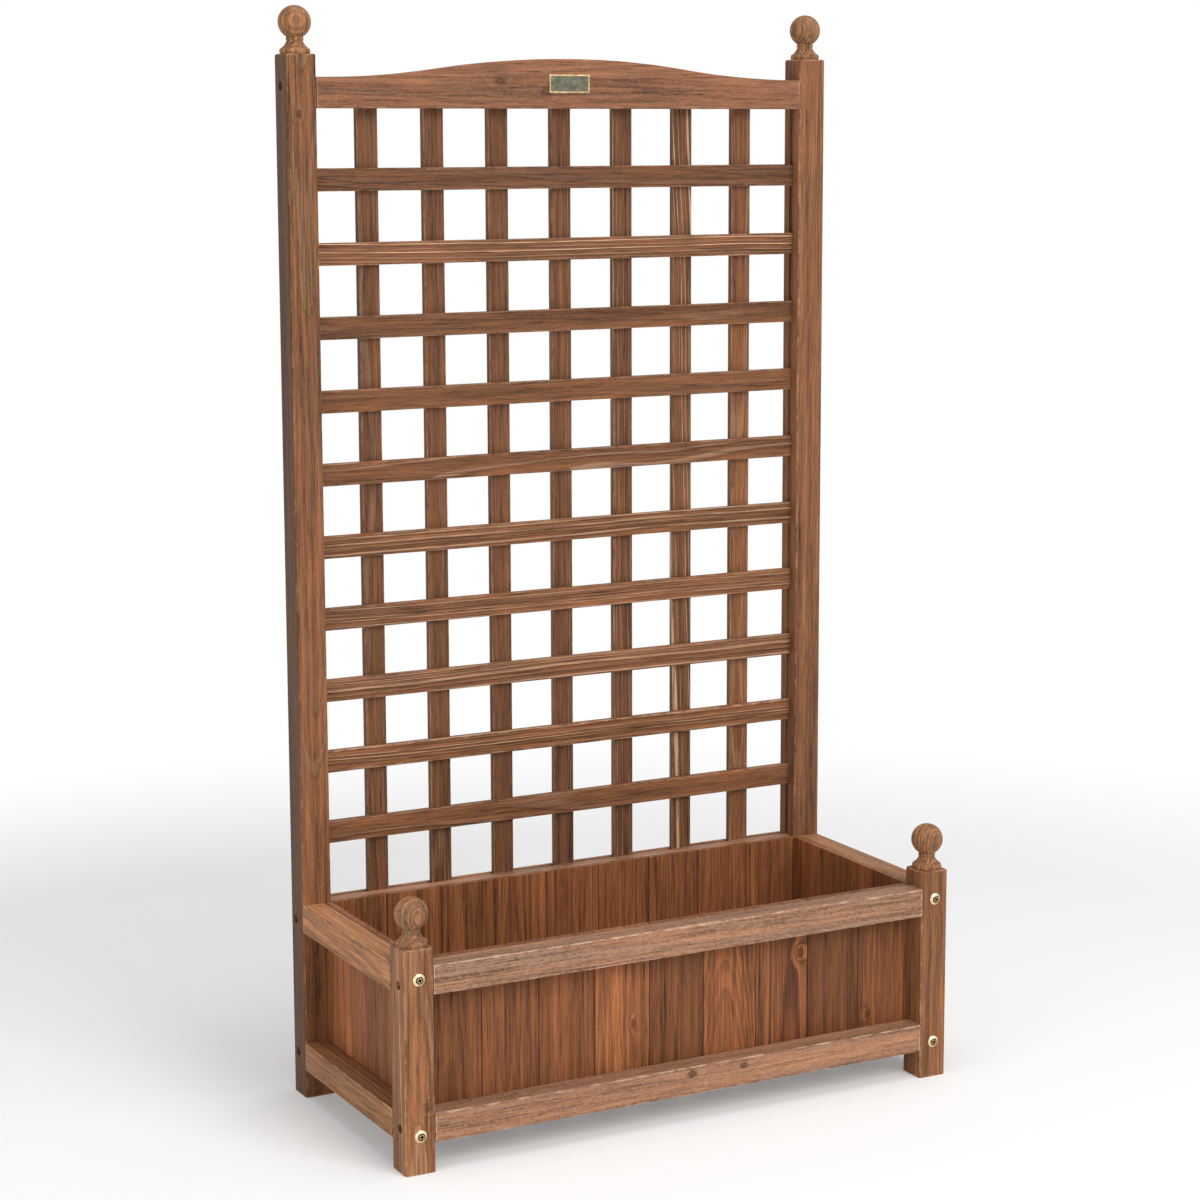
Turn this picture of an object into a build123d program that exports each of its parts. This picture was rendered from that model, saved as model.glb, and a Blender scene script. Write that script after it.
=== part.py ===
from build123d import *
import os
from math import degrees, asin, sqrt

# Trellis planter: a boarded box on four posts, the back pair carrying a lattice.
# Millimetres. The origin is on the ground under the middle of the planter,
# X runs to the right, Y to the back and Z up.

# Box and posts
width = 684.0
depth = 312.0
post_side = 35.0
post_rounding = 3.0
post_top_bevel = 1.5
foot_height = 32.0
rim_height = 225.0
front_post_rise = 20.0
back_post_height = 1168.0

# Rails of the box
rail_height = 32.0
rail_depth = 28.0
rail_rounding = 2.0

# Boards of the four panels
board_width = 67.5
board_thickness = 7.0
board_gap = 0.8
board_bevel = 0.8
narrowest_board = 4.0

# Arched rail over the lattice
crest_drop = 58.0
crest_end_height = 33.5
crest_rise = 22.0
crest_shoulder = 4.0
crest_rebate_height = 14.0

# Lattice
lath_width = 25.0
lath_thickness = 8.5
lath_bevel = 0.8
cross_lath_count = 10
upright_lath_count = 7
end_window_extra = 8.5
lattice_setback = 13.0
groove_depth = 3.0
rail_groove_depth = 6.0
seat_clearance = 0.1

# Finials
finial_height = 52.0
ball_radius = 18.0
neck_radius = 9.0
neck_height = 14.0
base_radius = 16.8
bead_height = 5.5
bead_bulge = 0.7
spigot_diameter = 10.0
spigot_length = 16.0

# Bolts that draw the side rails to the posts
bolt_diameter = 6.0
bolt_head_diameter = 13.5
bolt_head_height = 3.2
bolt_head_edge = 0.7
bolt_clearance = 0.3
bolt_drop = 13.0
bolt_rise = 10.0
insert_diameter = 10.0
insert_length = 16.0
bolt_tip_gap = 1.0

# Wood screws in deep counterbores
screw_diameter = 4.5
screw_length = 45.0
screw_head_diameter = 8.4
screw_head_height = 3.0
counterbore_diameter = 10.0
counterbore_depth = 9.0
fastener_web = 1.3
crest_screw_height = 24.0

# Floor of the box
cleat_side = 16.0
cleat_rise = 4.0
floor_thickness = 9.0
floor_board_width = 64.0
drain_gap = 4.0
floor_end_gap = 0.3

# Plate on the arched rail
plate_width = 51.0
plate_height = 20.5
plate_thickness = 1.2
plate_rim = 1.8
plate_field_depth = 0.5
plate_corner = 1.0

# Places worked out from the sizes above
half_width = width / 2
half_depth = depth / 2
inner_x = half_width - post_side
inner_y = half_depth - post_side
post_x = half_width - post_side / 2
post_y = half_depth - post_side / 2
front_post_height = rim_height + front_post_rise
crest_underside = back_post_height - crest_drop
lath_front = inner_y + lattice_setback
lath_middle = lath_front + lath_thickness
lath_back = lath_middle + lath_thickness
bolt_length = post_side + insert_length - bolt_tip_gap
bolt_bore = bolt_diameter + 2 * bolt_clearance
screw_bore = screw_diameter + 2 * seat_clearance
crossing_gap = (bolt_bore + screw_bore) / 2 + fastener_web
bolt_heights = {"top": rim_height - bolt_drop, "bottom": foot_height + bolt_rise}
screw_heights = {"top": bolt_heights["top"] - crossing_gap, "bottom": bolt_heights["bottom"] + crossing_gap}
screw_y = half_depth - rail_depth / 2
sides = {"left": -1, "right": 1}
ends = {"front": -1, "back": 1}


def block(x_range, y_range, z_range):
    """A straight-sided block between three pairs of limits."""
    low = [min(pair) for pair in (x_range, y_range, z_range)]
    high = [max(pair) for pair in (x_range, y_range, z_range)]
    middle = [(a + b) / 2 for a, b in zip(low, high)]
    return Pos(*middle) * Box(*[b - a for a, b in zip(low, high)])


def rod(start, direction, diameter, length):
    """A round bar that begins at start and runs along direction."""
    seat = Plane(origin=start, z_dir=direction)
    return seat * Cylinder(diameter / 2, length, align=(Align.CENTER, Align.CENTER, Align.MIN))


def softened(body, axis, radius):
    """The body with the edges along one axis rounded over."""
    return fillet(body.edges().filter_by(axis), radius)


def bevelled(body, axis, size):
    """The body with the arrises along one axis broken."""
    return chamfer(body.edges().filter_by(axis), size)


def bolt_seat(side, end, height):
    """Where a bolt's head bears on a post, and the way that the bolt points."""
    return (side * post_x, end * half_depth, height), (0, -end, 0)


def screw_seat(side, y, height):
    """The mouth of a screw's counterbore, and the way that the screw points."""
    return (side * half_width, y, height), (-side, 0, 0)


def along(start, direction, distance):
    """The point that lies a distance from start along direction."""
    return tuple(a + b * distance for a, b in zip(start, direction))


def bolt_hole(side, end, height):
    """Clearance for a bolt, through the post."""
    start, direction = bolt_seat(side, end, height)
    return rod(start, direction, bolt_bore, post_side)


def insert_pocket(side, end, height):
    """The pocket of a threaded insert in the end of a side rail."""
    start, direction = bolt_seat(side, end, height)
    mouth = along(start, direction, post_side)
    return rod(mouth, direction, insert_diameter + 2 * seat_clearance, insert_length)


def screw_hole(side, y, height):
    """A counterbore and the narrower hole for the screw's shank."""
    start, direction = screw_seat(side, y, height)
    floor = along(start, direction, counterbore_depth)
    wide = rod(start, direction, counterbore_diameter, counterbore_depth)
    return wide + rod(floor, direction, screw_bore, screw_length)


def post_screws(end):
    """The height and the Y of each screw that enters a post from the side."""
    places = [(end * screw_y, height) for height in screw_heights.values()]
    if end > 0:
        places.append((post_y, crest_underside + crest_screw_height))
    return places


def lattice_groove(side):
    """The stopped groove in a back post that holds the ends of the laths."""
    outer = side * (inner_x + groove_depth)
    return block((side * inner_x, outer), (lath_front, lath_middle), (rim_height, crest_underside))


def post(side, end):
    """A square post with rounded corners, drilled for its fasteners."""
    height = back_post_height if end > 0 else front_post_height
    x_range = (side * inner_x, side * half_width)
    body = softened(block(x_range, (end * inner_y, end * half_depth), (0, height)), Axis.Z, post_rounding)
    body = chamfer(body.faces().sort_by(Axis.Z)[-1].edges(), post_top_bevel)
    if end > 0:
        body -= lattice_groove(side)
    for bolt_height in bolt_heights.values():
        body -= bolt_hole(side, end, bolt_height)
    for y, screw_height in post_screws(end):
        body -= screw_hole(side, y, screw_height)
    bore = spigot_diameter + 2 * seat_clearance
    return body - rod((side * post_x, end * post_y, height), (0, 0, -1), bore, spigot_length + seat_clearance)


def rail_levels():
    """The lower and upper limits of the top rails and of the bottom rails."""
    return {
        "top": (rim_height - rail_height, rim_height),
        "bottom": (foot_height, foot_height + rail_height),
    }


def long_rail(end, level):
    """A rail of the front or back, between two posts and flush with their outer faces."""
    y_range = (end * half_depth, end * (half_depth - rail_depth))
    body = softened(block((-inner_x, inner_x), y_range, rail_levels()[level]), Axis.X, rail_rounding)
    for side in sides.values():
        body -= screw_hole(side, end * screw_y, screw_heights[level])
    if end > 0 and level == "top":
        z_range = (rim_height - rail_groove_depth, rim_height)
        body -= block((-inner_x, inner_x), (lath_middle, lath_back), z_range)
    return body


def side_rail(side, level):
    """A rail of the left or right side, with a threaded insert's pocket in each end."""
    x_range = (side * half_width, side * (half_width - rail_depth))
    body = softened(block(x_range, (-inner_y, inner_y), rail_levels()[level]), Axis.Y, rail_rounding)
    for end in ends.values():
        body -= insert_pocket(side, end, bolt_heights[level])
    return body


def board_limits(span):
    """Where each board of a panel starts and stops: full boards, then one ripped to what is left."""
    pitch = board_width + board_gap
    full = int((span - narrowest_board) // pitch)
    limits = [(index * pitch, index * pitch + board_width) for index in range(full)]
    return limits + [(full * pitch, span)]


def long_boards(end):
    """The upright boards of the front or back panel, against the backs of the rails."""
    outer = end * (half_depth - rail_depth)
    y_range = (outer, outer - end * board_thickness)
    z_range = (foot_height, rim_height)
    limits = [(start - inner_x, stop - inner_x) for start, stop in board_limits(2 * inner_x)]
    return [bevelled(block(pair, y_range, z_range), Axis.Z, board_bevel) for pair in limits]


def side_boards(side):
    """The upright boards of the left or right panel, the narrow one at the back."""
    outer = side * (half_width - rail_depth)
    x_range = (outer, outer - side * board_thickness)
    z_range = (foot_height, rim_height)
    limits = [(start - inner_y, stop - inner_y) for start, stop in board_limits(2 * inner_y)]
    return [bevelled(block(x_range, pair, z_range), Axis.Z, board_bevel) for pair in limits]


def crest_outline():
    """The front outline of the arched rail: level shoulders, then two hollows that swell into the middle."""
    low = crest_underside
    shoulder = low + crest_end_height
    run = inner_x - crest_shoulder
    left_turn = (-run / 2, shoulder + crest_rise / 2)
    right_turn = (run / 2, shoulder + crest_rise / 2)
    outline = Curve() + [
        Line((-inner_x, low), (inner_x, low)),
        Line((inner_x, low), (inner_x, shoulder)),
        Line((inner_x, shoulder), (run, shoulder)),
        TangentArc((run, shoulder), right_turn, tangent=(-1, 0)),
        ThreePointArc(right_turn, (0, shoulder + crest_rise), left_turn),
        TangentArc((-run, shoulder), left_turn, tangent=(1, 0)),
        Line((-run, shoulder), (-inner_x, shoulder)),
        Line((-inner_x, shoulder), (-inner_x, low)),
    ]
    return make_face(Plane.XZ * outline)


def crest_rail():
    """The arched rail, flush with the fronts of the back posts and rebated behind for the laths."""
    body = extrude(Pos(0, inner_y, 0) * crest_outline(), rail_depth, dir=(0, 1, 0))
    lower_edges = body.edges().filter_by(Axis.X).sort_by(Axis.Z)[:2]
    body = fillet(lower_edges, rail_rounding)
    z_range = (crest_underside, crest_underside + crest_rebate_height)
    body -= block((-inner_x, inner_x), (lath_middle, inner_y + rail_depth), z_range)
    for side in sides.values():
        body -= screw_hole(side, post_y, crest_underside + crest_screw_height)
    return body


def lath_centres(opening, count, extra=0.0):
    """The middles of the laths across an opening, with even windows, the first and the last taller by the extra."""
    window = (opening - count * lath_width - 2 * extra) / (count + 1)
    pitch = lath_width + window
    return [(index - (count - 1) / 2) * pitch for index in range(count)]


def cross_laths():
    """The horizontal laths, from the top down, their ends in the grooves of the back posts."""
    middle = (rim_height + crest_underside) / 2
    reach = inner_x + groove_depth - seat_clearance
    laths = []
    for offset in reversed(lath_centres(crest_underside - rim_height, cross_lath_count, end_window_extra)):
        z_range = (middle + offset - lath_width / 2, middle + offset + lath_width / 2)
        laths.append(bevelled(block((-reach, reach), (lath_front, lath_middle), z_range), Axis.X, lath_bevel))
    return laths


def upright_laths():
    """The upright laths, from the left, behind the horizontal ones."""
    z_range = (rim_height - rail_groove_depth, crest_underside + crest_rebate_height)
    laths = []
    for offset in lath_centres(2 * inner_x, upright_lath_count):
        x_range = (offset - lath_width / 2, offset + lath_width / 2)
        laths.append(bevelled(block(x_range, (lath_middle, lath_back), z_range), Axis.Z, lath_bevel))
    return laths


def finial_profile():
    """Half of the turned outline: a spigot, a rounded bead, a cove up to the neck, and a ball."""
    ball_middle = finial_height - ball_radius
    neck_top = ball_middle - sqrt(ball_radius**2 - neck_radius**2)
    neck_angle = degrees(asin(neck_radius / ball_radius)) - 90
    spigot_radius = spigot_diameter / 2
    bead_inner = base_radius - bead_bulge
    cove_sag = ((bead_inner + neck_radius) / 2 - bead_bulge, (bead_height + neck_height) / 2 - bead_bulge)
    outline = Curve() + [
        Line((0, -spigot_length), (spigot_radius, -spigot_length)),
        Line((spigot_radius, -spigot_length), (spigot_radius, 0)),
        Line((spigot_radius, 0), (bead_inner, 0)),
        ThreePointArc((bead_inner, 0), (base_radius, bead_height / 2), (bead_inner, bead_height)),
        ThreePointArc((bead_inner, bead_height), cove_sag, (neck_radius, neck_height)),
        Line((neck_radius, neck_height), (neck_radius, neck_top)),
        CenterArc((0, ball_middle), ball_radius, neck_angle, 90 - neck_angle),
        Line((0, finial_height), (0, -spigot_length)),
    ]
    return make_face(Plane.XZ * outline)


def finials():
    """The turned ball finials, each with its spigot in the top of a post."""
    turned = revolve(finial_profile(), Axis.Z)
    placed = []
    for side in sides.values():
        for end in ends.values():
            height = back_post_height if end > 0 else front_post_height
            placed.append(Pos(side * post_x, end * post_y, height) * turned)
    return placed


def bolt():
    """A truss-head bolt, its head on the XY plane and its shank below."""
    head_radius = bolt_head_diameter / 2
    shank_radius = bolt_diameter / 2
    outline = Curve() + [
        Line((0, -bolt_length), (shank_radius, -bolt_length)),
        Line((shank_radius, -bolt_length), (shank_radius, 0)),
        Line((shank_radius, 0), (head_radius, 0)),
        Line((head_radius, 0), (head_radius, bolt_head_edge)),
        TangentArc((0, bolt_head_height), (head_radius, bolt_head_edge), tangent=(1, 0)),
        Line((0, bolt_head_height), (0, -bolt_length)),
    ]
    return revolve(make_face(Plane.XZ * outline), Axis.Z)


def screw():
    """A bugle-head wood screw, the narrow end of its head on the XY plane and its shank below."""
    head_radius = screw_head_diameter / 2
    shank_radius = screw_diameter / 2
    outline = Polyline(
        (0, -screw_length),
        (shank_radius, -screw_length),
        (shank_radius, 0),
        (head_radius, screw_head_height),
        (0, screw_head_height),
        close=True,
    )
    return revolve(make_face(Plane.XZ * outline), Axis.Z)


def every_bolt_place():
    """The seat and the direction of each bolt."""
    return [
        bolt_seat(side, end, height)
        for side in sides.values()
        for end in ends.values()
        for height in bolt_heights.values()
    ]


def frame_bolts():
    """All bolts, each with its head on the face of a post."""
    pattern = bolt()
    placed = []
    for start, direction in every_bolt_place():
        outward = tuple(-a for a in direction)
        placed.append(Plane(origin=start, z_dir=outward) * pattern)
    return placed


def rail_inserts():
    """The threaded inserts in the ends of the side rails."""
    rings = []
    for start, direction in every_bolt_place():
        mouth = along(start, direction, post_side)
        shell = rod(mouth, direction, insert_diameter, insert_length)
        rings.append(shell - rod(mouth, direction, bolt_diameter + 2 * seat_clearance, insert_length))
    return rings


def frame_screws():
    """The wood screws that hold the front, back and arched rails, each at the foot of its counterbore."""
    pattern = screw()
    placed = []
    for side in sides.values():
        for end in ends.values():
            for y, height in post_screws(end):
                mouth, direction = screw_seat(side, y, height)
                outward = tuple(-a for a in direction)
                placed.append(Plane(origin=along(mouth, direction, counterbore_depth), z_dir=outward) * pattern)
    return placed


def cleat(end):
    """A square cleat along the foot of the front or back panel, under the floor."""
    low = foot_height + cleat_rise
    y_range = (end * inner_y, end * (inner_y - cleat_side))
    return block((-inner_x, inner_x), y_range, (low, low + cleat_side))


def floor_boards():
    """Short floor boards from front to back, with drain gaps between them."""
    low = foot_height + cleat_rise + cleat_side
    pitch = floor_board_width + drain_gap
    count = int((2 * inner_x + drain_gap) // pitch)
    reach = inner_y - floor_end_gap
    boards = []
    for index in range(count):
        middle = (index - (count - 1) / 2) * pitch
        x_range = (middle - floor_board_width / 2, middle + floor_board_width / 2)
        boards.append(block(x_range, (-reach, reach), (low, low + floor_thickness)))
    return boards


def blank_plate():
    """A small metal plate with a raised rim round a plain field, on the front of the arched rail."""
    middle = crest_underside + (crest_end_height + crest_rise) / 2
    back = inner_y
    body = block(
        (-plate_width / 2, plate_width / 2),
        (back - plate_thickness, back),
        (middle - plate_height / 2, middle + plate_height / 2),
    )
    body = fillet(body.edges().filter_by(Axis.Y), plate_corner)
    field = block(
        (plate_rim - plate_width / 2, plate_width / 2 - plate_rim),
        (back - plate_thickness, back - plate_thickness + plate_field_depth),
        (middle - plate_height / 2 + plate_rim, middle + plate_height / 2 - plate_rim),
    )
    return body - field


def numbered(name, solids):
    """Names for a run of like pieces, counted from one."""
    return {f"{name}_{index:02d}": solid for index, solid in enumerate(solids, 1)}


def board_run(name, boards):
    """Names for the boards of a panel, the last of them the closing board."""
    return {**numbered(name, boards[:-1]), f"{name}_closing": boards[-1]}


def corner_posts():
    """The four posts."""
    return {
        f"post_{end_name}_{side_name}": post(side, end)
        for end_name, end in ends.items()
        for side_name, side in sides.items()
    }


def box_rails():
    """The eight straight rails."""
    pieces = {}
    for level in rail_levels():
        for end_name, end in ends.items():
            pieces[f"rail_{end_name}_{level}"] = long_rail(end, level)
        for side_name, side in sides.items():
            pieces[f"rail_{side_name}_{level}"] = side_rail(side, level)
    return pieces


def planter():
    """Every piece of the planter by name. A group of like pieces is one compound."""
    return {
        **corner_posts(),
        **box_rails(),
        "rail_crest": crest_rail(),
        **numbered("lath_cross", cross_laths()),
        **numbered("lath_upright", upright_laths()),
        **board_run("board_front", long_boards(ends["front"])),
        **board_run("board_left", side_boards(sides["left"])),
        **board_run("board_right", side_boards(sides["right"])),
        "boards_back": Compound(long_boards(ends["back"])),
        "cleat_front": cleat(ends["front"]),
        "cleat_back": cleat(ends["back"]),
        "floor_boards": Compound(floor_boards()),
        "finials": Compound(finials()),
        "frame_bolts": Compound(frame_bolts()),
        "rail_inserts": Compound(rail_inserts()),
        "frame_screws": Compound(frame_screws()),
        "blank_plate": blank_plate(),
    }


os.makedirs("parts", exist_ok=True)
for name, piece in planter().items():
    export_step(piece, f"parts/{name}.step")
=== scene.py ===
import math
import random

import bmesh
import bpy
from mathutils import Matrix, Vector


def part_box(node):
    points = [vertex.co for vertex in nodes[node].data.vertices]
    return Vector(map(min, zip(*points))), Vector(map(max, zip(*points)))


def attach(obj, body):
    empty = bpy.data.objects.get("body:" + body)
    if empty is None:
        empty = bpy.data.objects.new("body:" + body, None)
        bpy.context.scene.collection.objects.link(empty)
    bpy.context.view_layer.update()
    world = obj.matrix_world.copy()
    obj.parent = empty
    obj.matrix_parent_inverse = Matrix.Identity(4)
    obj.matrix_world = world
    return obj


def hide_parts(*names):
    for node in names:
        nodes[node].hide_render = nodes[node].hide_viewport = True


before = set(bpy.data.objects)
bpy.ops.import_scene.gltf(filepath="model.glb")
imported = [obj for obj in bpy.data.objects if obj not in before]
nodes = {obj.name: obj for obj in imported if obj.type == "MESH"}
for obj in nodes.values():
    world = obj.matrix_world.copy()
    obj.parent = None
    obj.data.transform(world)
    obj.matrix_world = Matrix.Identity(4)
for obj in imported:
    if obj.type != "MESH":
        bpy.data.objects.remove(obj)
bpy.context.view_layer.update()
print("frame loaded:", len(nodes), "CAD nodes")


# Node helpers, used for materials and for geometry alike

def setOrLink(tree, socket, value):
    if isinstance(value, bpy.types.NodeSocket):
        tree.links.new(value, socket)
    else:
        socket.default_value = value


def addNode(tree, kind, inputs=None, **settings):
    made = tree.nodes.new(kind)
    for name, value in settings.items():
        setattr(made, name, value)
    for key, value in (inputs or {}).items():
        setOrLink(tree, made.inputs[key], value)
    return made


def doMath(tree, operation, a, b=0.0, c=0.0):
    return addNode(tree, "ShaderNodeMath", {0: a, 1: b, 2: c}, operation=operation).outputs[0]


def plus(tree, a, b):
    return doMath(tree, "ADD", a, b)


def minus(tree, a, b):
    return doMath(tree, "SUBTRACT", a, b)


def times(tree, a, b):
    return doMath(tree, "MULTIPLY", a, b)


def over(tree, a, b):
    return doMath(tree, "DIVIDE", a, b)


def larger(tree, a, b):
    return doMath(tree, "MAXIMUM", a, b)


def smaller(tree, a, b):
    return doMath(tree, "MINIMUM", a, b)


def doVector(tree, operation, a, b=(0.0, 0.0, 0.0)):
    made = addNode(tree, "ShaderNodeVectorMath", {0: a, 1: b}, operation=operation)
    return made.outputs["Value" if operation in ("LENGTH", "DOT_PRODUCT") else "Vector"]


def splitVector(tree, vector):
    return addNode(tree, "ShaderNodeSeparateXYZ", {0: vector}).outputs


def joinVector(tree, x, y, z):
    return addNode(tree, "ShaderNodeCombineXYZ", {0: x, 1: y, 2: z}).outputs[0]


def noise(tree, place, stretch, seed, detail=2.0, rough=0.5):
    # stretch is in waves a metre, across, through and along the grain
    scaled = doVector(tree, "MULTIPLY", place, stretch)
    made = addNode(
        tree, "ShaderNodeTexNoise",
        {"Vector": scaled, "W": seed, "Scale": 1.0, "Detail": detail, "Roughness": rough},
        noise_dimensions="4D",
    )
    return made.outputs[0]


def ramp(tree, value, low, high, toLow=0.0, toHigh=1.0):
    # a smooth step from toLow to toHigh
    made = addNode(
        tree, "ShaderNodeMapRange",
        {"Value": value, "From Min": low, "From Max": high, "To Min": toLow, "To Max": toHigh},
        interpolation_type="SMOOTHSTEP",
    )
    return made.outputs[0]


def mixColor(tree, share, a, b, blend="MIX"):
    made = addNode(tree, "ShaderNodeMix", data_type="RGBA", blend_type=blend)
    made.clamp_result = False
    for index, value in ((0, share), (6, a), (7, b)):
        setOrLink(tree, made.inputs[index], value)
    return made.outputs[2]


def darken(tree, color, share):
    return mixColor(tree, 1.0, color, joinVector(tree, share, share, share), "MULTIPLY")


def addBump(tree, height, strength, distance):
    made = addNode(tree, "ShaderNodeBump", {"Height": height, "Strength": strength, "Distance": distance})
    return made.outputs[0]


def srgb(red, green, blue):
    # a colour as it looks on a screen, 0 to 255, made linear
    def linear(part):
        part /= 255
        return part / 12.92 if part <= 0.04045 else ((part + 0.055) / 1.055) ** 2.4
    return (linear(red), linear(green), linear(blue), 1.0)


def newMaterial(name):
    material = bpy.data.materials.new(name)
    material.use_nodes = True
    material.node_tree.nodes.clear()
    return material, material.node_tree


def objectPlace(tree):
    return addNode(tree, "ShaderNodeTexCoord").outputs["Object"]


def endMaterial(tree, shader):
    addNode(tree, "ShaderNodeOutputMaterial", {"Surface": shader.outputs[0]})


def newObject(name, data):
    made = bpy.data.objects.new(name, data)
    bpy.context.scene.collection.objects.link(made)
    return made


# Stained fir. Places are metres: across the grain, through the piece and along the grain.

firFigure = {
    "bendWaves": (6.0, 6.0, 1.4),      # slow bends of the rings, waves a metre
    "bendSize": 0.03,
    "raggedWaves": (70.0, 70.0, 9.0),  # small unevenness of each ring
    "raggedSize": 0.0016,
    "spacingWaves": 70.0,              # how the width of the rings changes outwards
    "spacingSize": 5.0,
    "knotReach": 2.2,                  # how far a knot pushes the rings aside, in knot sizes
    "knotStretch": 1.6,                # and how much longer it is along the grain
    "knotPush": 2.4,
}


def knotField(tree, place, knot, size):
    # how far from the knot, in knot sizes, and how far it pushes the rings
    f = firFigure
    across, through, along = splitVector(tree, doVector(tree, "SUBTRACT", place, knot))[:3]
    ahead = over(tree, along, f["knotStretch"])
    away = doVector(tree, "LENGTH", joinVector(tree, across, ahead, 0.0))
    away = over(tree, away, larger(tree, size, 1e-5))
    fall = doMath(tree, "POWER", over(tree, away, f["knotReach"]), 2.0)
    fall = doMath(tree, "EXPONENT", times(tree, fall, -1.0))
    return away, times(tree, fall, times(tree, size, f["knotPush"]))


def ringField(tree, place, pith, slope, seed, pitch, push):
    # how many rings out from the pith; slope is how fast the pith leaves the face along the grain
    f = firFigure
    across, through, along = splitVector(tree, place)[:3]
    pithAcross, pithThrough, unused = splitVector(tree, pith)[:3]
    bend = minus(tree, noise(tree, place, f["bendWaves"], seed), 0.5)
    ragged = minus(tree, noise(tree, place, f["raggedWaves"], seed, 3.0), 0.5)
    u = minus(tree, across, pithAcross)
    v = minus(tree, minus(tree, through, pithThrough), times(tree, slope, along))
    radius = doVector(tree, "LENGTH", joinVector(tree, u, v, 0.0))
    radius = doMath(tree, "MULTIPLY_ADD", bend, f["bendSize"], radius)
    radius = doMath(tree, "MULTIPLY_ADD", ragged, f["raggedSize"], radius)
    spread = noise(tree, joinVector(tree, radius, 0.0, 0.0), (f["spacingWaves"],) * 3, seed, 1.0)
    rings = over(tree, plus(tree, radius, push), pitch)
    return doMath(tree, "MULTIPLY_ADD", spread, f["spacingSize"], rings)


def lateBand(tree, rings):
    # 1 in the hard wood at the end of each ring and 0 in the soft wood
    part = doMath(tree, "FRACT", rings)
    return times(tree, ramp(tree, part, 0.3, 0.88), ramp(tree, part, 0.9, 1.0, 1.0, 0.0))


def groupSocket(tree, name, kind, default=None, output=False):
    made = tree.interface.new_socket(name, in_out="OUTPUT" if output else "INPUT", socket_type=kind)
    if default is not None:
        made.default_value = default
    return made


def addParts(tree, first, *others):
    for other in others:
        first = plus(tree, first, other)
    return first


# Each noise of the grain: waves a metre (across, through, along), detail, roughness, shift of the seed
grainNoises = {
    "fine": ((1700.0, 1700.0, 60.0), 3.0, 0.65, 0.0),
    "fibre": ((520.0, 520.0, 14.0), 4.0, 0.62, 0.0),
    "dashes": ((640.0, 640.0, 26.0), 2.0, 0.5, 3.7),
    "streak": ((110.0, 110.0, 2.2), 4.0, 0.6, 0.0),
    "cloud": ((18.0, 18.0, 6.0), 2.0, 0.5, 0.0),
    "mottle": ((520.0, 520.0, 240.0), 4.0, 0.7, 0.0),
    "chip": ((140.0, 140.0, 60.0), 4.0, 0.7, 0.0),
    "lumps": ((330.0, 330.0, 330.0), 2.0, 0.5, 0.0),
}

firFinish = {
    # how far each noise lightens and darkens the stain, and within what distance of its middle
    "swing": {"streak": (0.34, 0.16), "fibre": (0.29, 0.14), "fine": (0.2, 0.18), "cloud": (0.14, 0.2)},
    "dashBand": (0.57, 0.7),     # of the noise, where the dark pores lie
    "dashDepth": 0.45,
    "ringStrength": (0.4, 1.15),   # of the palest and the darkest ring
    "cloudStrength": (0.75, 1.0),
    "arrisLeast": 0.0003,    # metres from an edge that its stain is rubbed off
    "arrisMost": 0.0038,
    "knotLumps": 1.3,
    "knotRingWaves": 15.0,
    "knotRim": srgb(52, 29, 18),
    "roughness": 0.52,
    "fibreRoughness": 0.22,  # added by the fibres
    "ringRoughness": -0.1,   # and by the hard rings
    "relief": {"fibre": 0.7, "fine": 0.4, "dashes": -0.35, "fuzz": 1.4, "knotRim": -0.5},
}


def stainColor(tree, given, grain, late, ringDice):
    # dark hard rings, some darker than others, in wood that took the stain in streaks
    f = firFinish
    uneven = ramp(tree, ringDice, 0.0, 1.0, *f["ringStrength"])
    strength = times(tree, uneven, ramp(tree, grain["cloud"], 0.35, 0.65, *f["cloudStrength"]))
    share = times(tree, times(tree, late, given["Figure"]), strength)
    color = mixColor(tree, share, given["Soft"], given["Hard"])
    swings = {
        name: ramp(tree, grain[name], 0.5 - band, 0.5 + band, -far, far)
        for name, (far, band) in f["swing"].items()
    }
    swings["streak"] = times(tree, swings["streak"], given["Streak"])
    pores = ramp(tree, grain["dashes"], *f["dashBand"], 0.0, -f["dashDepth"])
    return darken(tree, color, addParts(tree, 1.0, *swings.values(), pores))


def rubRidges(tree, color, given, grain, late, ringDice):
    # the ridges of hard wood are rubbed pale, in broken lines
    crest = times(tree, ramp(tree, late, 0.45, 0.9), ramp(tree, grain["fibre"], 0.38, 0.56, 0.25, 1.0))
    crest = times(tree, crest, ramp(tree, ringDice, 0.1, 0.8, 0.25, 1.0))
    rubbed = smaller(tree, times(tree, crest, given["Rub"]), 1.0)
    return mixColor(tree, rubbed, color, given["Worn"])


def rubArrises(tree, color, given, grain):
    f = firFinish
    gap = doVector(tree, "SUBTRACT", given["Half Size"], doVector(tree, "ABSOLUTE", given["Place"]))
    x, y, z = splitVector(tree, gap)[:3]
    low, high = smaller(tree, x, y), larger(tree, x, y)
    edge = larger(tree, low, smaller(tree, high, z))
    reach = ramp(tree, grain["chip"], 0.36, 0.72, f["arrisLeast"], f["arrisMost"])
    rub = ramp(tree, minus(tree, 1.0, over(tree, edge, reach)), 0.0, 0.8)
    return mixColor(tree, times(tree, rub, given["Wear"]), color, given["Worn"])


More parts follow.
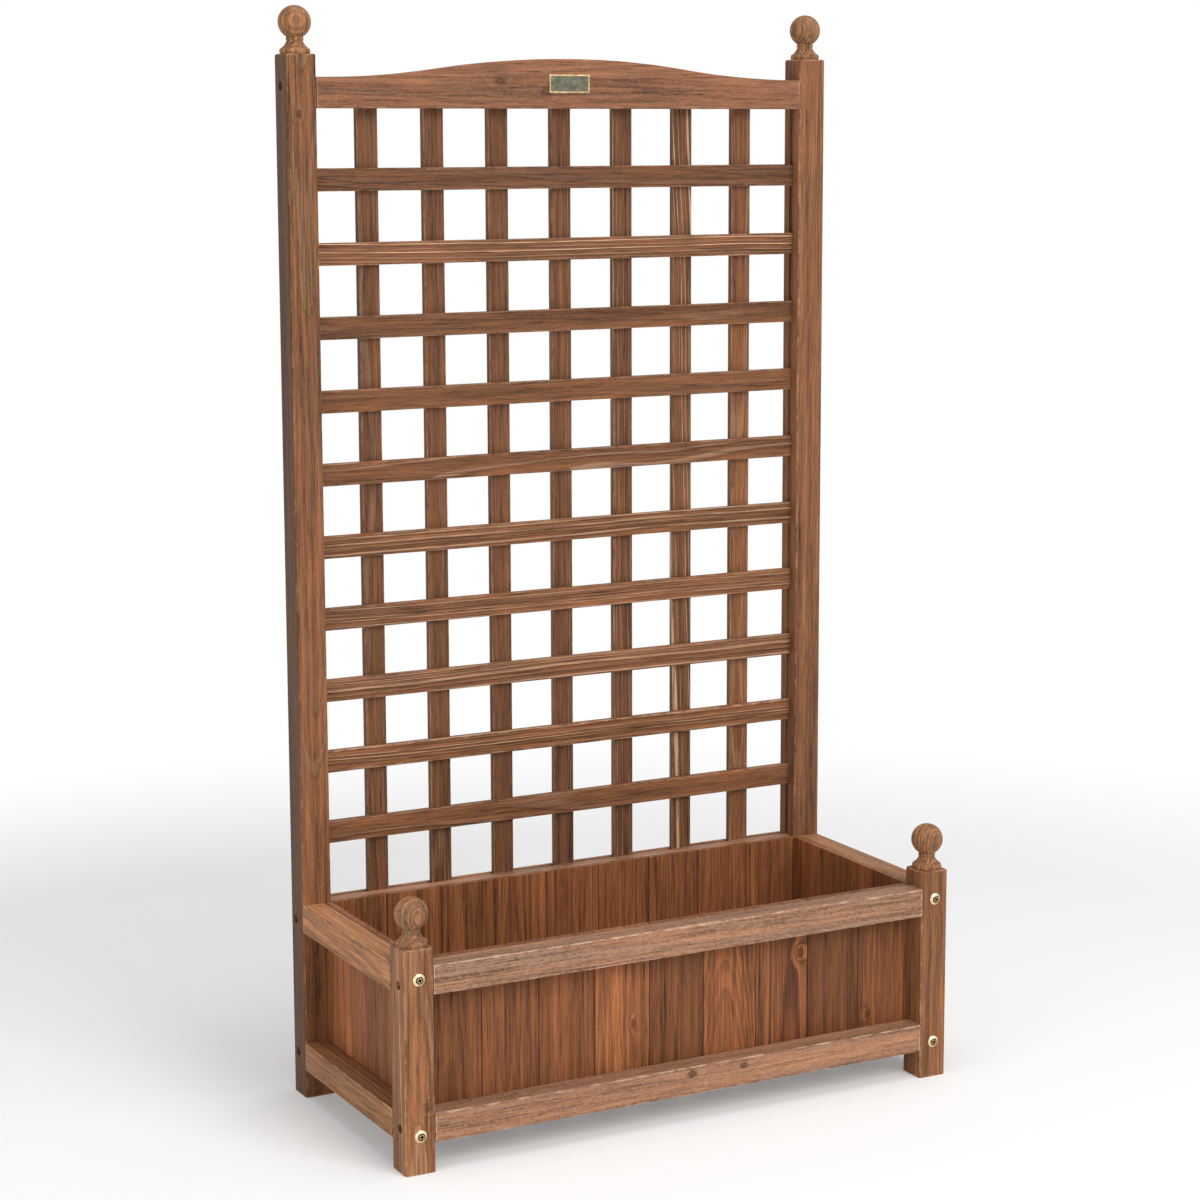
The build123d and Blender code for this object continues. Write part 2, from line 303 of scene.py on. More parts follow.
def paintKnots(tree, color, given, grain, away):
    # dark rings inside a darker rim
    f = firFinish
    away = doMath(tree, "MULTIPLY_ADD", minus(tree, grain["lumps"], 0.5), f["knotLumps"], away)
    inside = ramp(tree, away, 0.5, 1.3, 1.0, 0.0)
    waves = doMath(tree, "SINE", times(tree, away, f["knotRingWaves"]))
    heart = darken(tree, given["Soft"], ramp(tree, waves, -1.0, 1.0, 0.45, 0.8))
    rim = ramp(tree, doMath(tree, "ABSOLUTE", minus(tree, away, 0.8)), 0.0, 0.8, 0.5, 0.0)
    return mixColor(tree, rim, mixColor(tree, inside, color, heart), f["knotRim"]), rim


def makeFirGroup():
    f = firFinish
    tree = bpy.data.node_groups.new("stainedFir", "ShaderNodeTree")
    for names, kind in (
        (("Place", "Half Size", "Pith", "Knot A", "Knot B"), "NodeSocketVector"),
        (("Soft", "Hard", "Worn"), "NodeSocketColor"),
        (("Slope", "Seed", "Ring Pitch", "Knot A Size", "Knot B Size"), "NodeSocketFloat"),
        (("Figure", "Rub", "Wear", "Fuzz", "Ridge", "Streak"), "NodeSocketFloat"),
    ):
        for name in names:
            groupSocket(tree, name, kind)
    for name, kind in (("Color", "Color"), ("Roughness", "Float"), ("Height", "Float")):
        groupSocket(tree, name, "NodeSocket" + kind, output=True)
    given = addNode(tree, "NodeGroupInput").outputs
    place, seed = given["Place"], given["Seed"]
    awayA, pushA = knotField(tree, place, given["Knot A"], given["Knot A Size"])
    awayB, pushB = knotField(tree, place, given["Knot B"], given["Knot B Size"])
    push = plus(tree, pushA, pushB)
    rings = ringField(tree, place, given["Pith"], given["Slope"], seed, given["Ring Pitch"], push)
    late = lateBand(tree, rings)
    ringDice = addNode(
        tree, "ShaderNodeTexWhiteNoise", {"W": plus(tree, doMath(tree, "FLOOR", rings), seed)},
        noise_dimensions="1D",
    ).outputs["Value"]
    grain = {
        name: noise(tree, place, stretch, plus(tree, seed, shift), detail, rough)
        for name, (stretch, detail, rough, shift) in grainNoises.items()
    }
    color = stainColor(tree, given, grain, late, ringDice)
    color = rubRidges(tree, color, given, grain, late, ringDice)
    # rough-sawn fuzz catches less stain
    fuzz = times(tree, ramp(tree, grain["mottle"], 0.4, 0.66), given["Fuzz"])
    color = mixColor(tree, fuzz, color, given["Worn"])
    color = rubArrises(tree, color, given, grain)
    color, knotRim = paintKnots(tree, color, given, grain, smaller(tree, awayA, awayB))
    rough = doMath(tree, "MULTIPLY_ADD", grain["fibre"], f["fibreRoughness"], f["roughness"])
    rough = doMath(tree, "MULTIPLY_ADD", late, f["ringRoughness"], rough)
    relief = f["relief"]
    height = addParts(
        tree, times(tree, late, given["Ridge"]), times(tree, grain["fibre"], relief["fibre"]),
        times(tree, grain["fine"], relief["fine"]),
        ramp(tree, grain["dashes"], 0.6, 0.72, 0.0, relief["dashes"]),
        times(tree, times(tree, grain["mottle"], given["Fuzz"]), relief["fuzz"]),
        times(tree, knotRim, relief["knotRim"]),
    )
    addNode(tree, "NodeGroupOutput", {"Color": color, "Roughness": rough, "Height": height})
    return tree


firGroup = makeFirGroup()

# How each kind of piece was cut and stained
woodLooks = {
    "post": {
        "soft": srgb(136, 87, 55), "hard": srgb(72, 40, 23), "worn": srgb(198, 150, 108),
        "pitch": 0.0036, "figure": 0.8, "rub": 0.25, "wear": 0.5, "fuzz": 0.08, "ridge": 0.9,
        "streak": 1.0, "bump": 0.0009, "farPith": 0.045, "slope": 0.012,
    },
    "rail": {
        "soft": srgb(160, 111, 80), "hard": srgb(96, 57, 36), "worn": srgb(200, 166, 140),
        "pitch": 0.0038, "figure": 0.5, "rub": 0.2, "wear": 0.8, "fuzz": 0.32, "ridge": 0.6,
        "streak": 0.8, "bump": 0.0009, "farPith": 0.06, "slope": 0.015,
    },
    "sideRail": {
        "soft": srgb(150, 102, 66), "hard": srgb(98, 58, 34), "worn": srgb(200, 156, 112),
        "pitch": 0.0038, "figure": 0.8, "rub": 0.15, "wear": 0.45, "fuzz": 0.15, "ridge": 0.7,
        "streak": 0.8, "bump": 0.0009, "farPith": 0.05, "slope": 0.03,
    },
    "crest": {
        "soft": srgb(132, 86, 59), "hard": srgb(88, 52, 34), "worn": srgb(186, 142, 110),
        "pitch": 0.0042, "figure": 0.6, "rub": 0.1, "wear": 0.5, "fuzz": 0.15, "ridge": 0.4,
        "streak": 0.7, "bump": 0.0006, "farPith": 0.05, "slope": 0.02,
    },
    "board": {
        "soft": srgb(138, 84, 49), "hard": srgb(74, 38, 20), "worn": srgb(176, 118, 76), "pitch": 0.0042,
        "figure": 0.58, "rub": 0.06, "wear": 0.1, "fuzz": 0.06, "ridge": 0.6, "streak": 0.85,
        "bump": 0.0006, "farPith": 0.045, "slope": 0.016,
    },
    "lath": {
        "soft": srgb(104, 65, 39), "hard": srgb(72, 41, 24), "worn": srgb(196, 154, 122),
        "pitch": 0.0046, "figure": 0.7, "rub": 0.35, "wear": 0.25, "fuzz": 0.05, "ridge": 1.0,
        "streak": 0.7, "bump": 0.0009, "farPith": 0.05, "slope": 0.012,
    },
    "turned": {
        "soft": srgb(150, 101, 65), "hard": srgb(56, 30, 16), "worn": srgb(206, 164, 122),
        "pitch": 0.0042, "figure": 1.3, "rub": 0.3, "wear": 0.0, "fuzz": 0.1, "ridge": 0.8,
        "streak": 0.9, "bump": 0.00075, "farPith": 0.012, "slope": 0.1,
    },
    "plain": {
        "soft": srgb(146, 100, 68), "hard": srgb(106, 66, 42), "worn": srgb(182, 138, 100),
        "pitch": 0.0042, "figure": 0.6, "rub": 0.1, "wear": 0.3, "fuzz": 0.35, "ridge": 0.5,
        "streak": 0.7, "bump": 0.00075, "farPith": 0.05, "slope": 0.03,
    },
}

# Single pieces that differ from their kind. A knot is (across, along, size) from the piece's middle.
pieceLooks = {
    "board_front_01": {"shade": 0.75},
    "board_front_02": {"shade": 0.8, "slope": 0.05},
    "board_front_03": {"shade": 0.75},
    "board_front_04": {"shade": 1.2, "knots": [(0.014, -0.014, 0.0026)]},
    "board_front_05": {"shade": 0.66, "figure": 0.4},
    "board_front_06": {"shade": 1.03, "slope": 0.09},
    "board_front_07": {"shade": 0.92, "figure": 1.0, "knots": [(0.0235, 0.036, 0.0032)]},
    "board_front_08": {"shade": 0.56, "figure": 0.5},
    "board_front_closing": { "shade": 0.77, "knots": [(-0.0205, -0.05, 0.0028)]},
    "rail_crest": {"shade": 0.88, "knots": [(0.003, -0.086, 0.0036), (-0.009, -0.029, 0.0045)]},
    "rail_front_top": {"shade": 0.78},
    "rail_left_top": {"shade": 1.3},
    "rail_front_bottom": {
        "shade": 0.8, "fuzz": 0.3, "knots": [(0.008, 0.004, 0.0036), (0.007, 0.07, 0.003)],
    },
    "post_front_left": {
        "shade": 1.0, "rub": 0.9, "fuzz": 0.12, "figure": 1.0, "streak": 1.3,
        "knots": [(0.008, -0.05, 0.0026)],
    },
    "post_front_right": {"shade": 0.92},
    # outer darkens this post's left face with painted shade
    "post_back_left": {"shade": 0.76, "outer": 0.55, "knots": [(-0.004, 0.52, 0.0026)]},
    "post_back_right": {"shade": 0.86},
    "lath_cross_01": {"rub": 0.12, "shade": 0.95},
    "lath_cross_02": {
        "rub": 1.25, "shade": 1.15, "pith": (0.075, 0.02, 0.0), "slope": 0.02, "pitch": 0.0048,
    },
    "lath_cross_03": {"rub": 0.3, "shade": 0.95, "figure": 0.4},
    "lath_cross_04": {"rub": 0.08, "shade": 1.2},
    "lath_cross_05": {"rub": 0.4, "shade": 1.1},
    "lath_cross_06": {"rub": 0.7, "shade": 1.3, "pith": (-0.07, 0.03, 0.0), "pitch": 0.0044},
    "lath_cross_07": {"rub": 0.7, "shade": 1.3, "pith": (0.08, 0.03, 0.0), "pitch": 0.0044},
    "lath_cross_08": {"rub": 0.8, "shade": 1.25, "pith": (0.06, -0.03, 0.0), "pitch": 0.0046},
    "lath_cross_09": {
        "rub": 0.95, "shade": 1.4, "wear": 0.8, "pith": (-0.09, 0.02, 0.0), "pitch": 0.0046,
    },
    "lath_cross_10": {"rub": 0.2, "shade": 1.35},
    "lath_upright_01": {"rub": 0.2, "shade": 1.0},
    "lath_upright_02": {"rub": 0.25, "shade": 1.1},
    "lath_upright_03": {"rub": 0.15, "shade": 1.0},
    "lath_upright_04": {"rub": 0.35, "shade": 1.05, "pith": (-0.07, 0.03, 0.0), "pitch": 0.004},
    "lath_upright_05": {"rub": 0.4, "shade": 1.0, "pith": (0.06, 0.03, 0.0), "pitch": 0.0042},
    "lath_upright_06": {
        "rub": 1.3, "shade": 1.05, "pith": (-0.03, 0.02, 0.0), "slope": -0.05, "pitch": 0.005,
    },
    "lath_upright_07": {"rub": 0.3, "shade": 1.35, "figure": 0.5},
}

# Across, through and along the grain, as axes of the planter
grainOrders = {
    "upFront": (0, 1, 2),     # upright, its wide face to the front
    "upSide": (1, 0, 2),      # upright, its wide face to the side
    "crossFront": (2, 1, 0),  # level, left to right
    "deep": (2, 0, 1),        # level, front to back, wide face to the side
    "deepFlat": (0, 2, 1),    # level, front to back, lying flat
}


def tone(color, share):
    return (color[0] * share, color[1] * share, color[2] * share, 1.0)


paintedShadeEdge = {"start": 0.0005, "end": 0.0025}  # metres from the left face, where the painted shade stops


def shadeWood(tree, look, place, half, pith, slope, seed, shade):
    fir = addNode(tree, "ShaderNodeGroup", node_tree=firGroup)
    values = {
        "Place": place, "Half Size": half, "Pith": pith, "Slope": slope, "Seed": seed,
        "Ring Pitch": look["pitch"],
        "Soft": tone(look["soft"], shade), "Hard": tone(look["hard"], shade), "Worn": look["worn"],
        "Figure": look["figure"], "Rub": look["rub"], "Wear": look["wear"], "Fuzz": look["fuzz"],
        "Ridge": look["ridge"], "Streak": look["streak"],
    }
    for letter, (across, along, size) in zip("AB", look.get("knots", ())):
        values["Knot " + letter] = (across, 0.0, along)
        values["Knot " + letter + " Size"] = size
    for key, value in values.items():
        setOrLink(tree, fir.inputs[key], value)
    color = fir.outputs["Color"]
    if "outer" in look:
        # painted shade: the colour of the left face is darkened
        across = splitVector(tree, place)[0]
        start, end = paintedShadeEdge["start"] - half[0], paintedShadeEdge["end"] - half[0]
        left = ramp(tree, across, start, end, look["outer"], 1.0)
        color = darken(tree, color, left)
    bump = addBump(tree, fir.outputs["Height"], 1.0, look["bump"])
    shader = addNode(
        tree, "ShaderNodeBsdfPrincipled",
        {"Base Color": color, "Roughness": fir.outputs["Roughness"], "Normal": bump,
         "Specular IOR Level": 0.22},
    )
    endMaterial(tree, shader)


def cutOf(name, look):
    # where the pith lay and how the piece took the stain, the same each run for the same name
    look = {**woodLooks[look], **pieceLooks.get(name, {})}
    dice = random.Random(name)
    seed, side = dice.uniform(0.0, 90.0), dice.choice((-1, 1))
    far = look["farPith"]
    drawn = (dice.uniform(-0.35, 0.35) * far, side * dice.uniform(0.5, 1.2) * far, 0.0)
    slope, shade = look["slope"] * dice.choice((-1, 1)) * dice.uniform(0.5, 1.3), dice.uniform(0.85, 1.1)
    return look, seed, look.get("pith", drawn), slope, look.get("shade", shade)


def makeWood(name, look, order, centre, halfSize, cell=None):
    # cell is (start, pitch) across, for a group of boards in one mesh
    look, seed, pith, slope, shade = cutOf(name, look)
    material, tree = newMaterial("fir_" + name)
    where = objectPlace(tree)
    local = splitVector(tree, doVector(tree, "SUBTRACT", where, centre))
    a, b, c = grainOrders[order]
    across, half = local[a], [halfSize[a], halfSize[b], halfSize[c]]
    if cell:
        start, pitch = cell
        steps = over(tree, minus(tree, across, start), pitch)
        across = times(tree, minus(tree, doMath(tree, "FRACT", steps), 0.5), pitch)
        seed = doMath(tree, "MULTIPLY_ADD", doMath(tree, "FLOOR", steps), 4.37, seed)
        half[0] = pitch / 2
    shadeWood(tree, look, joinVector(tree, across, local[b], local[c]), half, pith, slope, seed, shade)
    return material


def setMaterial(piece, material):
    piece.data.materials.clear()
    piece.data.materials.append(material)


def centreAndHalf(name):
    low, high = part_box(name)
    return (low + high) / 2, (high - low) / 2


def stainNode(name, look, order, cell=None):
    centre, half = centreAndHalf(name)
    setMaterial(nodes[name], makeWood(name, look, order, centre, half, cell))


plateLook = {
    "rim": 0.0018,
    "bump": 0.0001,
    "rimTones": (srgb(214, 190, 146), srgb(160, 134, 92)),
    "fieldTones": (srgb(74, 74, 62), srgb(112, 108, 88)),
}


def makePlateMetal():
    # a polished rim round a dark, matt field
    centre, half = centreAndHalf("blank_plate")
    material, tree = newMaterial("brassPlate")
    where = objectPlace(tree)
    local = doVector(tree, "SUBTRACT", where, centre)
    gap = doVector(tree, "SUBTRACT", half, doVector(tree, "ABSOLUTE", local))
    x, y, z = splitVector(tree, gap)[:3]
    edge = smaller(tree, x, z)
    field = ramp(tree, edge, plateLook["rim"] * 0.8, plateLook["rim"] * 1.05)
    brushed = noise(tree, where, (60.0, 60.0, 3200.0), 2.0, 3.0)
    cloud = noise(tree, where, (160.0, 160.0, 160.0), 4.0, 4.0, 0.65)
    bright = mixColor(tree, ramp(tree, cloud, 0.35, 0.65), *plateLook["rimTones"])
    dark = mixColor(tree, ramp(tree, cloud, 0.35, 0.7), *plateLook["fieldTones"])
    color = mixColor(tree, field, bright, dark)
    rough = doMath(tree, "MULTIPLY_ADD", brushed, 0.2, doMath(tree, "MULTIPLY_ADD", field, 0.2, 0.24))
    metallic = doMath(tree, "MULTIPLY_ADD", field, -0.45, 0.95)
    shader = addNode(
        tree, "ShaderNodeBsdfPrincipled",
        {"Base Color": color, "Roughness": rough, "Metallic": metallic,
         "Normal": addBump(tree, brushed, 0.3, plateLook["bump"])},
    )
    endMaterial(tree, shader)
    return material


setMaterial(nodes["blank_plate"], makePlateMetal())

backBoards = (-0.307, 0.0683)  # where the first board starts, and from board to board
floorBoards = (-0.304, 0.068)
floorGap = 0.004

for name in nodes:
    if name.startswith("post_"):
        stainNode(name, "post", "upFront")
    elif name in ("rail_front_top", "rail_front_bottom", "rail_back_top", "rail_back_bottom"):
        stainNode(name, "rail", "crossFront")
    elif name == "rail_crest":
        stainNode(name, "crest", "crossFront")
    elif name.startswith(("rail_left", "rail_right")):
        stainNode(name, "sideRail", "deep")
    elif name.startswith("board_front"):
        stainNode(name, "board", "upFront")
    elif name.startswith(("board_left", "board_right")):
        stainNode(name, "board", "upSide")
    elif name == "boards_back":
        stainNode(name, "board", "upFront", cell=backBoards)
    elif name.startswith("cleat_"):
        stainNode(name, "plain", "crossFront")
    elif name == "floor_boards":
        stainNode(name, "plain", "deepFlat", cell=floorBoards)
    elif name == "finials":
        stainNode(name, "turned", "upFront")
print("wood stained")


# Geometry Nodes: a tree is started, ended, and turned into a plain mesh

socketKinds = {float: "NodeSocketFloat", int: "NodeSocketInt", tuple: "NodeSocketVector"}


def startTree(name, inputs):
    tree = bpy.data.node_groups.new(name, "GeometryNodeTree")
    groupSocket(tree, "Geometry", "NodeSocketGeometry")
    for key, value in inputs.items():
        made = groupSocket(tree, key, socketKinds[type(value)], value)
        if isinstance(value, float):
            made.subtype = "DISTANCE"
    groupSocket(tree, "Material", "NodeSocketMaterial")
    groupSocket(tree, "Geometry", "NodeSocketGeometry", output=True)
    return tree, addNode(tree, "NodeGroupInput").outputs


def endTree(tree, shape, given):
    whole = addNode(tree, "GeometryNodeRealizeInstances", {"Geometry": shape}).outputs[0]
    dressed = addNode(tree, "GeometryNodeSetMaterial", {"Geometry": whole, "Material": given["Material"]})
    addNode(tree, "NodeGroupOutput", {"Geometry": dressed.outputs[0]})
    return tree


def growPiece(name, mesh, tree, inputs, smoothAngle=35.0):
    carrier = newObject(name + "Seed", mesh)
    modifier = carrier.modifiers.new("grow", "NODES")
    modifier.node_group = tree
    for item in tree.interface.items_tree:
        if item.item_type == "SOCKET" and item.in_out == "INPUT" and item.name in inputs:
            modifier[item.identifier] = inputs[item.name]
    ready = carrier.evaluated_get(bpy.context.evaluated_depsgraph_get())
    plain = bpy.data.meshes.new_from_object(ready)
    bpy.data.objects.remove(carrier)
    plain.name = name
    plain.shade_smooth()
    plain.set_sharp_from_angle(angle=math.radians(smoothAngle))
    piece = newObject(name, plain)
    return piece


def placesMesh(name, places):
    # one vertex for each (place, way that it faces)
    mesh = bpy.data.meshes.new(name)
    mesh.from_pydata([place for place, facing in places], [], [])
    facings = mesh.attributes.new("facing", "FLOAT_VECTOR", "POINT")
    for entry, (place, facing) in zip(facings.data, places):
        entry.vector = facing
    return mesh


def keepField(tree, shape, name, value, kind="FLOAT_VECTOR", domain="POINT"):
    made = addNode(
        tree, "GeometryNodeStoreNamedAttribute", data_type=kind, domain=domain,
    )
    made.inputs["Name"].default_value = name
    tree.links.new(shape, made.inputs["Geometry"])
    tree.links.new(value, made.inputs["Value"])
    return made.outputs[0]


def joinShapes(tree, *shapes):
    made = addNode(tree, "GeometryNodeJoinGeometry")
    for shape in shapes:
        tree.links.new(shape, made.inputs[0])
    return made.outputs[0]


def combine(tree, operation, first, *others):
    made = addNode(tree, "GeometryNodeMeshBoolean", operation=operation, solver="EXACT")
    tree.links.new(first, made.inputs["Mesh 1" if operation == "DIFFERENCE" else "Mesh 2"])
    for shape in others:
        tree.links.new(shape, made.inputs["Mesh 2"])
    return made.outputs[0]


def cornerPlace(tree):
    return addNode(tree, "GeometryNodeInputPosition").outputs[0]


def copyTo(tree, points, shape, turned):
    return addNode(
        tree, "GeometryNodeInstanceOnPoints", {"Points": points, "Instance": shape, "Rotation": turned},
    ).outputs[0]


def placeCorners(tree, shape, position):
    return addNode(tree, "GeometryNodeSetPosition", {"Geometry": shape, "Position": position}).outputs[0]


def anySpin(tree, seed):
    # a fixed random turn about Z
    dice = addNode(tree, "FunctionNodeRandomValue", {"Seed": seed}, data_type="FLOAT")
    dice.inputs[3].default_value = 2 * math.pi
    turn = joinVector(tree, 0.0, 0.0, dice.outputs[1])
    return addNode(tree, "FunctionNodeEulerToRotation", {0: turn}).outputs[0]


def moveShape(tree, shape, offset, scale=(1.0, 1.0, 1.0), turn=(0.0, 0.0, 0.0)):
    return addNode(
        tree, "GeometryNodeTransform",
        {"Geometry": shape, "Translation": offset, "Rotation": turn, "Scale": scale},
    ).outputs[0]


def cylinder(tree, radius, height, sides, base=0.0):
    made = addNode(
        tree, "GeometryNodeMeshCylinder", {"Vertices": sides, "Radius": radius, "Depth": height},
    ).outputs["Mesh"]
    middle = doMath(tree, "MULTIPLY_ADD", height, 0.5, base)
    return moveShape(tree, made, joinVector(tree, 0.0, 0.0, middle))


recessTaper = {"reach": 0.001, "bottom": 0.4}  # how far from the middle it narrows, and to what share


def cutCross(tree, head, top, given):
    # a cross recess whose wings narrow towards the bottom
    depth, length, width = given["Recess Depth"], given["Recess Length"], given["Recess Width"]
    wing = addNode(
        tree, "GeometryNodeMeshCube",
        {"Size": joinVector(tree, length, width, times(tree, depth, 2.0))},
    ).outputs["Mesh"]
    where = cornerPlace(tree)
    x, y, z = splitVector(tree, where)[:3]
    narrow = ramp(tree, z, -recessTaper["reach"], recessTaper["reach"], recessTaper["bottom"], 1.0)
    shaped = placeCorners(tree, wing, joinVector(tree, times(tree, x, narrow), y, z))
    place = joinVector(tree, 0.0, 0.0, top)
    first = moveShape(tree, shaped, place)
    second = moveShape(tree, shaped, place, turn=(0.0, 0.0, math.pi / 2))
    return combine(tree, "DIFFERENCE", head, first, second)


def standOnPlaces(tree, shape, given):
    # each copy faces outwards and is turned about its own axis by a fixed random angle
    where = cornerPlace(tree)
    shape = keepField(tree, shape, "localPlace", where)
    facing = addNode(
        tree, "GeometryNodeInputNamedAttribute", {"Name": "facing"}, data_type="FLOAT_VECTOR",
    ).outputs[0]
    turned = addNode(tree, "FunctionNodeAlignRotationToVector", {"Vector": facing}, axis="Z").outputs[0]
    spin = anySpin(tree, given["Seed"])
    turned = addNode(
        tree, "FunctionNodeRotateRotation", {"Rotation": turned, "Rotate By": spin},
        rotation_space="LOCAL",
    ).outputs[0]
    return copyTo(tree, given["Geometry"], shape, turned)


def endFastener(tree, given, head, sides):
    # the head on its shank, at every place
    length, radius = given["Shank Length"], times(tree, given["Shank Diameter"], 0.5)
    shank = cylinder(tree, radius, length, sides, times(tree, length, -1.0))
    return endTree(tree, standOnPlaces(tree, joinShapes(tree, head, shank), given), given)


# Metal finishes. localPlace is a fastener's own place, its axis on Z and its seat at zero. The cross
# recess gets dirt and painted shade.

metalWearAndShade = {
    "cloudWaves": (300.0, 300.0, 300.0),
    "fineWaves": (2600.0, 2600.0, 2600.0),
    "recessDirtAndShade": srgb(74, 52, 34),   # dirt and painted shade in the recess
    "shadeTop": 0.0001,          # metres below the head's top, where the painted shade starts
    "shadeFull": 0.0006,
    "recessRoughness": 0.5,
    "cloudRoughness": 0.16,
    "bump": 0.00012,
    "bumpStrength": 0.35,
}


def makeMetal(name, bright, dull, rough, recessTop, recessReach):
    w = metalWearAndShade
    material, tree = newMaterial(name)
    local = addNode(tree, "ShaderNodeAttribute", attribute_name="localPlace").outputs["Vector"]
    where = objectPlace(tree)
    x, y, z = splitVector(tree, local)[:3]
    reach = doVector(tree, "LENGTH", joinVector(tree, x, y, 0.0))
    cloud = noise(tree, where, w["cloudWaves"], 3.0, 3.0)
    fine = noise(tree, where, w["fineWaves"], 5.0, 2.0)
    color = mixColor(tree, ramp(tree, cloud, 0.35, 0.68), bright, dull)
    # painted shade with dirt: darker and rougher inside the cross recess
    deep = ramp(tree, z, recessTop - w["shadeFull"], recessTop - w["shadeTop"], 1.0, 0.0)
    inside = times(tree, deep, ramp(tree, reach, recessReach * 0.92, recessReach * 1.04, 1.0, 0.0))
    color = mixColor(tree, inside, color, w["recessDirtAndShade"])
    roughness = ramp(tree, cloud, 0.3, 0.7, rough, rough + w["cloudRoughness"])
    roughness = doMath(tree, "MULTIPLY_ADD", inside, w["recessRoughness"], roughness)
    bump = addBump(tree, plus(tree, cloud, fine), w["bumpStrength"], w["bump"])
    shader = addNode(
        tree, "ShaderNodeBsdfPrincipled",
        {"Base Color": color, "Roughness": roughness, "Metallic": 1.0, "Normal": bump},
    )
    endMaterial(tree, shader)
    return material


# Truss-head bolts, two in the outer face of each post, front and back

boltSizes = {
    "Head Diameter": 0.0135,
    "Head Height": 0.0032,
    "Head Edge": 0.0007,
    "Shank Diameter": 0.006,
    "Shank Length": 0.05,
    "Recess Length": 0.0076,
    "Recess Width": 0.002,
    "Recess Depth": 0.0019,
    "Seed": 7,
}


def trussBoltTree():
    tree, given = startTree("trussBolts", boltSizes)
    radius = times(tree, given["Head Diameter"], 0.5)
    rise = minus(tree, given["Head Height"], given["Head Edge"])
    square = plus(tree, times(tree, radius, radius), times(tree, rise, rise))
    domeRadius = over(tree, square, times(tree, rise, 2.0))
    ball = addNode(
        tree, "GeometryNodeMeshUVSphere", {"Segments": 72, "Rings": 48, "Radius": domeRadius},
    ).outputs["Mesh"]
    drop = minus(tree, given["Head Height"], domeRadius)
    ball = moveShape(tree, ball, joinVector(tree, 0.0, 0.0, drop))
    drum = cylinder(tree, radius, times(tree, given["Head Height"], 1.2), 72)
    head = combine(tree, "INTERSECT", ball, drum)
    head = cutCross(tree, head, given["Head Height"], given)
    return endFastener(tree, given, head, 24)


def boltPlaces():
    # the outermost heads give the rows, the posts' faces the seats
    low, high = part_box("frame_bolts")
    front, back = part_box("post_front_left")[0].y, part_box("post_back_right")[1].y
    half = boltSizes["Head Diameter"] / 2
    places = []
    for x in (low.x + half, high.x - half):
        for z in (low.z + half, high.z - half):
            places.append(((x, front, z), (0.0, -1.0, 0.0)))
            places.append(((x, back, z), (0.0, 1.0, 0.0)))
    return places


boltFinish = makeMetal("paleZinc", srgb(255, 236, 196), srgb(228, 194, 140), 0.2, 0.0032, 0.0045)
bolts = growPiece(
    "trussBolts", placesMesh("boltPlaces", boltPlaces()), trussBoltTree(),
    {**boltSizes, "Material": boltFinish},
)
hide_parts("frame_bolts")
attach(bolts, "root")
print("bolts made:", len(bolts.data.polygons), "faces")


# Bugle-head screws, at the bottom of the counterbores

screwSizes = {
    "Head Diameter": 0.0084,
    "Head Height": 0.003,
    "Rim": 0.0004,
    "Shank Diameter": 0.0045,
    "Shank Length": 0.045,
    "Recess Length": 0.005,
    "Recess Width": 0.0014,
    "Recess Depth": 0.0017,
    "Seed": 11,
}


def bugleScrewTree():
    tree, given = startTree("bugleScrews", screwSizes)
    radius = times(tree, given["Head Diameter"], 0.5)
    shankRadius = times(tree, given["Shank Diameter"], 0.5)
    slope = minus(tree, given["Head Height"], given["Rim"])
    cone = addNode(
        tree, "GeometryNodeMeshCone",
        {"Vertices": 40, "Radius Top": radius, "Radius Bottom": shankRadius, "Depth": slope},
    ).outputs["Mesh"]
    rim = cylinder(tree, radius, given["Rim"], 40, slope)
    head = combine(tree, "UNION", cone, rim)
    head = cutCross(tree, head, given["Head Height"], given)
    return endFastener(tree, given, head, 16)


def screwPlaces():
    # the middle of each screw's box, read from the CAD node's separate solids
    mesh = nodes["frame_screws"].data
    copy = bmesh.new()
    copy.from_mesh(mesh)
    bmesh.ops.remove_doubles(copy, verts=copy.verts, dist=1e-6)
    waiting, places = set(copy.verts), []
    while waiting:
        solid, reached = [], [waiting.pop()]
        while reached:
            vertex = reached.pop()
            solid.append(vertex.co.copy())
            for edge in vertex.link_edges:
                other = edge.other_vert(vertex)
                if other in waiting:
                    waiting.remove(other)
                    reached.append(other)
        xs, ys, zs = zip(*solid)
        side = 1.0 if sum(xs) > 0 else -1.0
        outer = max(xs) if side > 0 else min(xs)
        seat = outer - side * screwSizes["Head Height"]
        places.append(((seat, (min(ys) + max(ys)) / 2, (min(zs) + max(zs)) / 2), (side, 0.0, 0.0)))
    copy.free()
    return sorted(places)


screwFinish = makeMetal("darkZinc", srgb(196, 178, 138), srgb(120, 100, 70), 0.34, 0.003, 0.0026)
screws = growPiece(
    "bugleScrews", placesMesh("screwPlaces", screwPlaces()), bugleScrewTree(),
    {**screwSizes, "Material": screwFinish},
)
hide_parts("frame_screws")
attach(screws, "root")
print("screws made:", len(screws.data.polygons), "faces")


# Brads, their low heads just proud of the wood: at the lath crossings, inside the boards and on the floor

bradSizes = {
    "Head Diameter": 0.0022,
    "Head Height": 0.0003,
    "Shank Diameter": 0.0012,
    "Shank Length": 0.012,
    "Seed": 3,
}


def bradTree():
    tree, given = startTree("brads", bradSizes)
    radius = times(tree, given["Head Diameter"], 0.5)
    head = addNode(
        tree, "GeometryNodeMeshCone",
        {"Vertices": 12, "Radius Top": times(tree, radius, 0.7), "Radius Bottom": radius,
         "Depth": given["Head Height"]},
    ).outputs["Mesh"]
    return endFastener(tree, given, head, 8)


def middleOf(name):
    low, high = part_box(name)
    return (low + high) / 2


